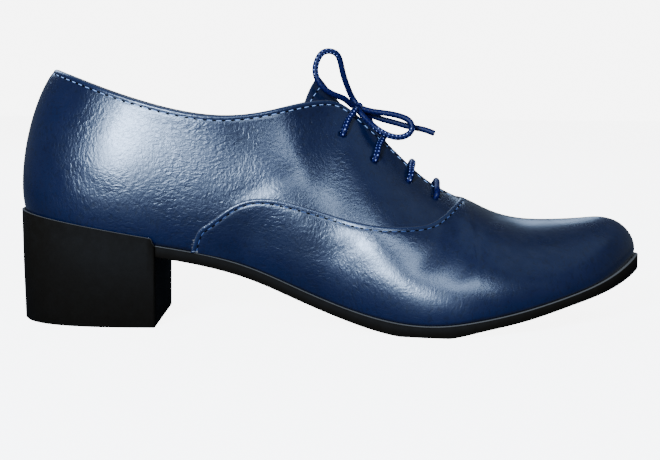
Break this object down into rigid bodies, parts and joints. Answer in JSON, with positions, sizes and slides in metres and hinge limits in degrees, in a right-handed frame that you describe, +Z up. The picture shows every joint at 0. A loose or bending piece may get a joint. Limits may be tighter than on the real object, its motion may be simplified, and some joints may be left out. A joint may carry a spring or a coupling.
{
  "type": "heeled oxford shoe",
  "caption": "Smooth navy leather lace-up oxford with a low block heel, plain rounded toe, curved vamp seam with contrast stitches, and a small bow.",
  "frame": {"origin": "On the floor under the middle of the shoe, at the bottom centre of its box without the bow.", "axes": "+X from the heel to the toe, +Y to the medial side, +Z up."},
  "size_m": [0.2586, 0.0878, 0.1122],
  "materials": {
    "navy_leather": "smooth box calf with a soft sheen",
    "black_rubber": "plain black, low gloss",
    "tan_leather": "matte lining leather",
    "navy_cord": "waxed round braid with pale flecks"
  },
  "bodies": {
    "root": {"upper": "navy_leather", "tongue": "navy_leather", "outsole": "black_rubber", "heel": "black_rubber", "insole": "tan_leather", "lace_bar_1": "navy_cord", "lace_bar_2": "navy_cord", "lace_bar_3": "navy_cord", "lace_bar_4": "navy_cord", "lace_knot": "navy_cord", "lace_loop_up": "navy_cord", "lace_loop_front": "navy_cord", "lace_end_lateral": "navy_cord", "lace_end_medial": "navy_cord"}
  },
  "joints": []
}
